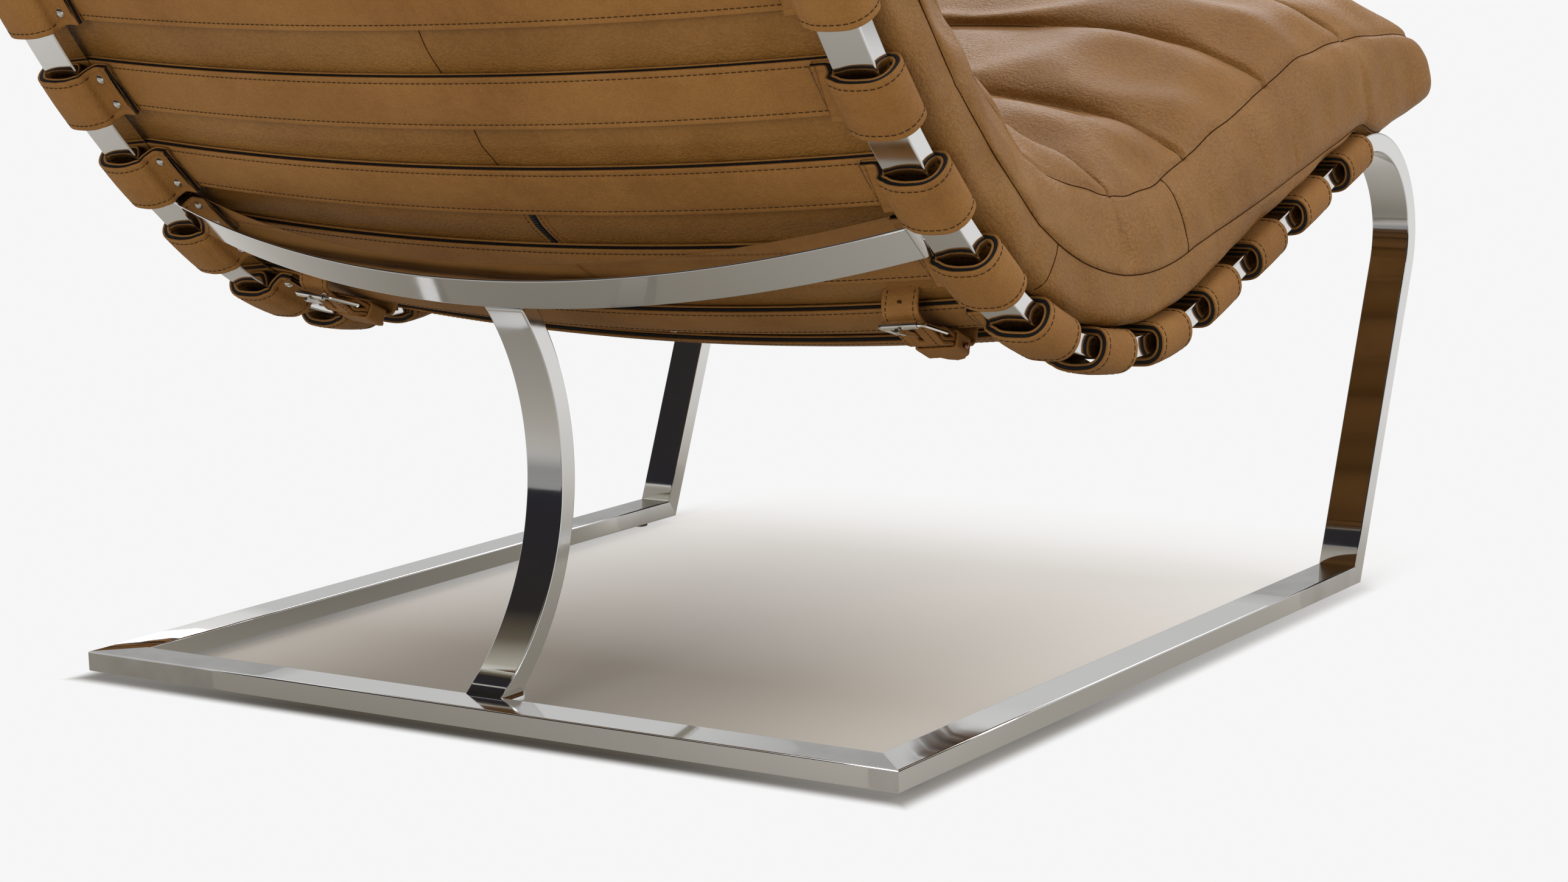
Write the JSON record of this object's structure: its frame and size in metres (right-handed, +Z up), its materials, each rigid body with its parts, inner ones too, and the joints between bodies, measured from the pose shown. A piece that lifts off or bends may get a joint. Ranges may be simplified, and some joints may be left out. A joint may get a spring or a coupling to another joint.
{
  "type": "cantilever lounge chair",
  "caption": "Low cantilever lounge chair: polished flat bar bent into an open base and two sloping rails, leather straps looped between them, and a long channelled leather cushion.",
  "frame": {"origin": "on the floor, under the middle of the chair's overall width and depth", "axes": "+Z up; the sitter faces -Y, so the rear of the chair is toward +Y; +X is the sitter's left"},
  "size_m": [0.732, 1.0758, 0.8405],
  "materials": {
    "polished_steel": "polished stainless steel with a faint brushed grain",
    "glide_nylon": "moulded",
    "strap_leather": "saddle leather, slightly glossy",
    "cushion_leather": "soft grained upholstery leather",
    "nickel": "polished nickel plate"
  },
  "bodies": {
    "chair": {"base_rear_bar": "polished_steel", "base_side_bar_left": "polished_steel", "base_side_bar_right": "polished_steel", "side_rail_left": "polished_steel", "side_rail_right": "polished_steel", "back_crossbar": "polished_steel", "top_crossbar": "polished_steel", "rear_support": "polished_steel", "glide_front_left": "glide_nylon", "glide_front_right": "glide_nylon", "glide_rear_left": "glide_nylon", "glide_rear_right": "glide_nylon", "seat_strap_1": "strap_leather", "seat_strap_2": "strap_leather", "seat_strap_3": "strap_leather", "seat_strap_4": "strap_leather", "seat_strap_5": "strap_leather", "seat_strap_6": "strap_leather", "seat_strap_7": "strap_leather", "back_strap_1": "strap_leather", "back_strap_2": "strap_leather", "back_strap_3": "strap_leather", "back_strap_4": "strap_leather", "back_strap_5": "strap_leather", "back_strap_6": "strap_leather", "back_strap_7": "strap_leather", "cushion": "cushion_leather", "belt_chape_left": "strap_leather", "belt_billet_left": "strap_leather", "belt_keeper_left": "strap_leather", "buckle_frame_left": "nickel", "belt_chape_right": "strap_leather", "belt_billet_right": "strap_leather", "belt_keeper_right": "strap_leather", "buckle_frame_right": "nickel"},
    "buckle_roller_left_body": {"buckle_roller_left": "nickel"},
    "buckle_roller_right_body": {"buckle_roller_right": "nickel"},
    "buckle_prong_left_body": {"buckle_prong_left": "nickel"},
    "buckle_prong_right_body": {"buckle_prong_right": "nickel"}
  },
  "joints": [
    {"name": "roller_spin_left", "type": "hinge", "parent": "chair", "child": "buckle_roller_left_body", "pos_m": [0.2639, 0.15274, 0.27408], "axis": [0.9951, -0.042, 0.0894], "continuous": true},
    {"name": "prong_hinge_left", "type": "hinge", "parent": "chair", "child": "buckle_prong_left_body", "pos_m": [0.26334, 0.11817, 0.26403], "axis": [-0.9951, 0.042, -0.0894], "range_deg": [0, 8]},
    {"name": "roller_spin_right", "type": "hinge", "parent": "chair", "child": "buckle_roller_right_body", "pos_m": [-0.2639, 0.15274, 0.27408], "axis": [0.9951, 0.042, -0.0894], "continuous": true},
    {"name": "prong_hinge_right", "type": "hinge", "parent": "chair", "child": "buckle_prong_right_body", "pos_m": [-0.26334, 0.11817, 0.26403], "axis": [-0.9951, -0.042, 0.0894], "range_deg": [0, 8]}
  ]
}
